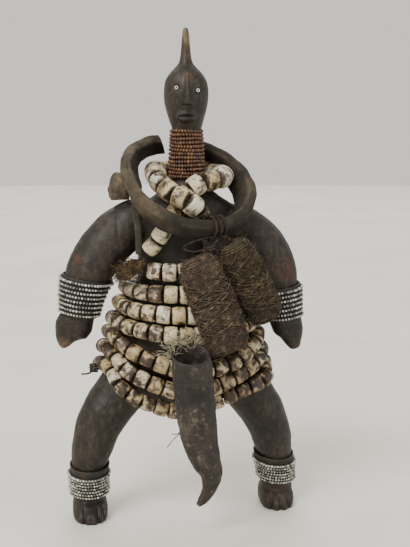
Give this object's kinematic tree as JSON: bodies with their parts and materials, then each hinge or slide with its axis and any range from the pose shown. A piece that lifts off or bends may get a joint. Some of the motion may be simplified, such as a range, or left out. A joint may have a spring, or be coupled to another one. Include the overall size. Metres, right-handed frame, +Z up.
{
  "type": "carved wooden doll",
  "caption": "Standing carved wooden doll with bead strings, a bead choker, a stiff hide collar, twine-wound bundles, a hollow horn and beaded cuffs.",
  "frame": {"origin": "under the middle of the whole doll's box, on the plane of its soles", "axes": "+Z up, the doll faces -Y, its right hand is on the -X side"},
  "size_m": [0.1654, 0.107, 0.32],
  "materials": {
    "wood": "semi-matte, dark, worn",
    "shell": "matte, stained and chipped",
    "hide": "dull, stiff",
    "seed_beads": "satin",
    "brick_beads": "satin, dirty",
    "fibre": "rough, frayed",
    "horn": "satin, mottled"
  },
  "bodies": {
    "root": {"figure": "wood", "eye_right": "seed_beads", "eye_left": "seed_beads", "neck_choker": "brick_beads", "collar": "hide", "chest_string": "shell", "waist_string_1": "shell", "waist_string_2": "shell", "waist_string_3": "shell", "hip_string_1": "shell", "hip_string_2": "shell", "hip_string_3": "shell", "horn": "horn", "horn_string": "fibre", "bundle_right": "fibre", "bundle_left": "fibre", "bundle_tie": "fibre", "tuft": "fibre", "strap": "hide", "packet": "hide", "wrist_right_hide": "hide", "wrist_left_hide": "hide", "ankle_right_hide": "hide", "ankle_left_hide": "hide", "wrist_right_beads": "seed_beads", "wrist_left_beads": "seed_beads", "ankle_right_beads": "seed_beads", "ankle_left_beads": "seed_beads"}
  },
  "joints": []
}
